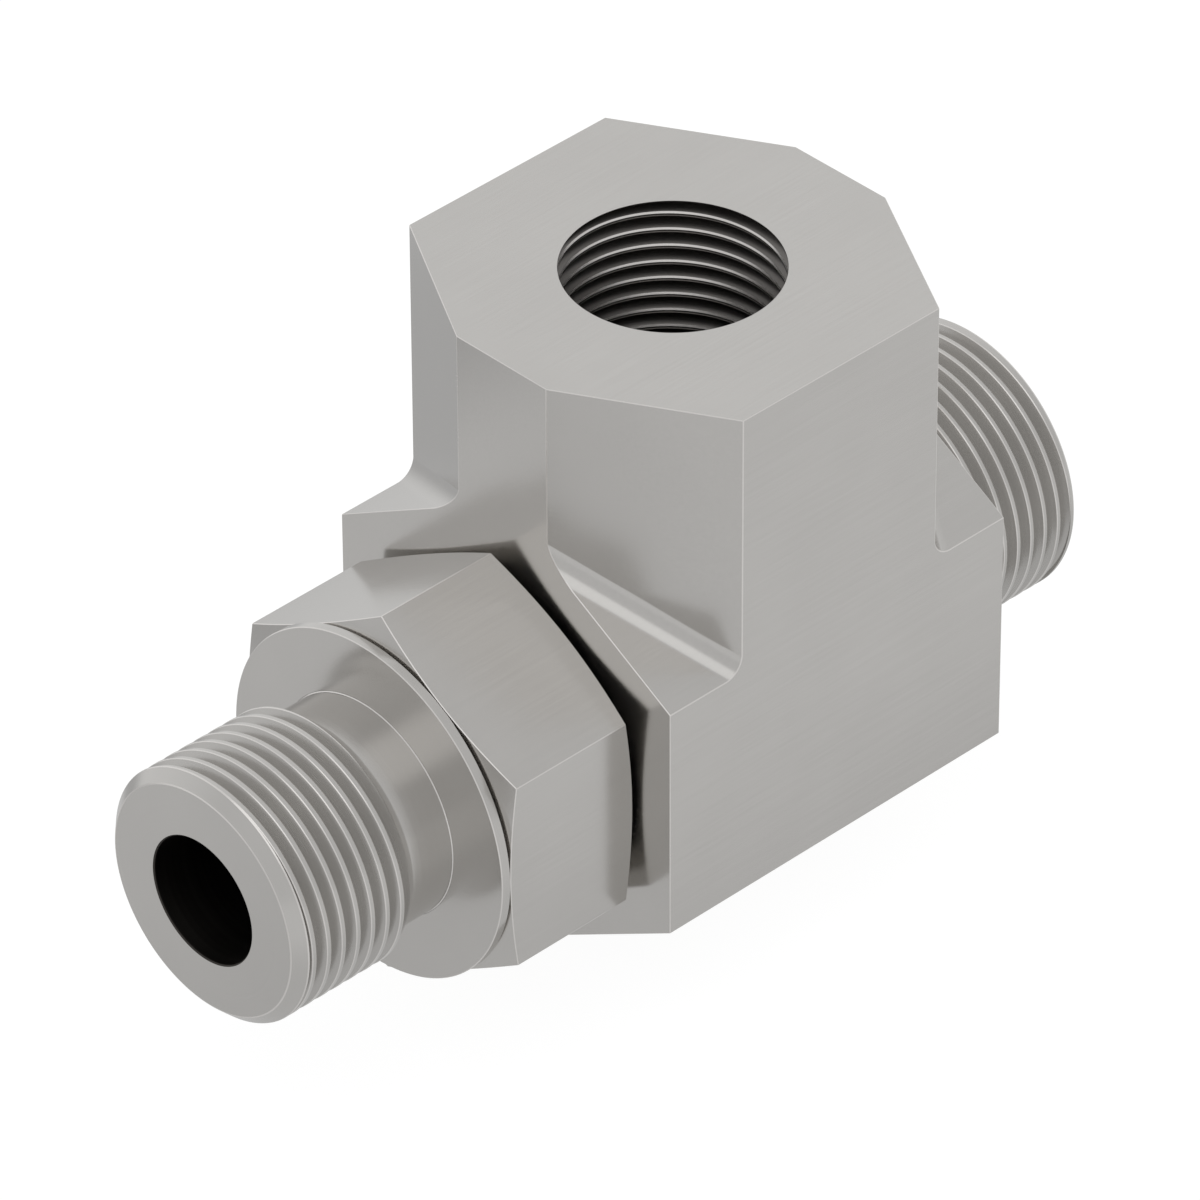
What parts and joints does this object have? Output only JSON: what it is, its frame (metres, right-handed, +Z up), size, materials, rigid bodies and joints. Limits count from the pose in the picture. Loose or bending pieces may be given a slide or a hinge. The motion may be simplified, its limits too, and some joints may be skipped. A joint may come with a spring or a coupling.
{
  "type": "pressure sensor fitting",
  "caption": "Steel hydraulic run tee with an adjustable stud end, lock nut and backup washer, a fixed male thread and a female threaded port on top for a pressure sensor.",
  "frame": {"origin": "where the axis of the run crosses the axis of the sensor port, inside the body", "axes": "+X along the run from the adjustable stud to the fixed male thread, +Z up along the sensor port, +Y across the body"},
  "size_m": [0.1162, 0.0508, 0.0769],
  "materials": {
    "body_steel": "satin machined",
    "nut_steel": "satin machined",
    "washer_steel": "satin turned",
    "seal_rubber": "moulded"
  },
  "bodies": {
    "tee": {"tee_body": "body_steel", "face_seal_o_ring": "seal_rubber"},
    "washer": {"backup_washer": "washer_steel"},
    "nut": {"lock_nut": "nut_steel"}
  },
  "joints": [
    {"name": "washer_slide", "type": "slide", "parent": "tee", "child": "washer", "axis": [-1, 0, 0], "range_m": [0, 0.00423]},
    {"name": "nut_spin", "type": "hinge", "parent": "washer", "child": "nut", "pos_m": [-0.0352, 0, 0], "axis": [-1, 0, 0], "range_deg": [0, 720]}
  ],
  "couplings": [
    {"joint": "washer_slide", "follows": "nut_spin", "m_per_rad": 0.00033688}
  ]
}
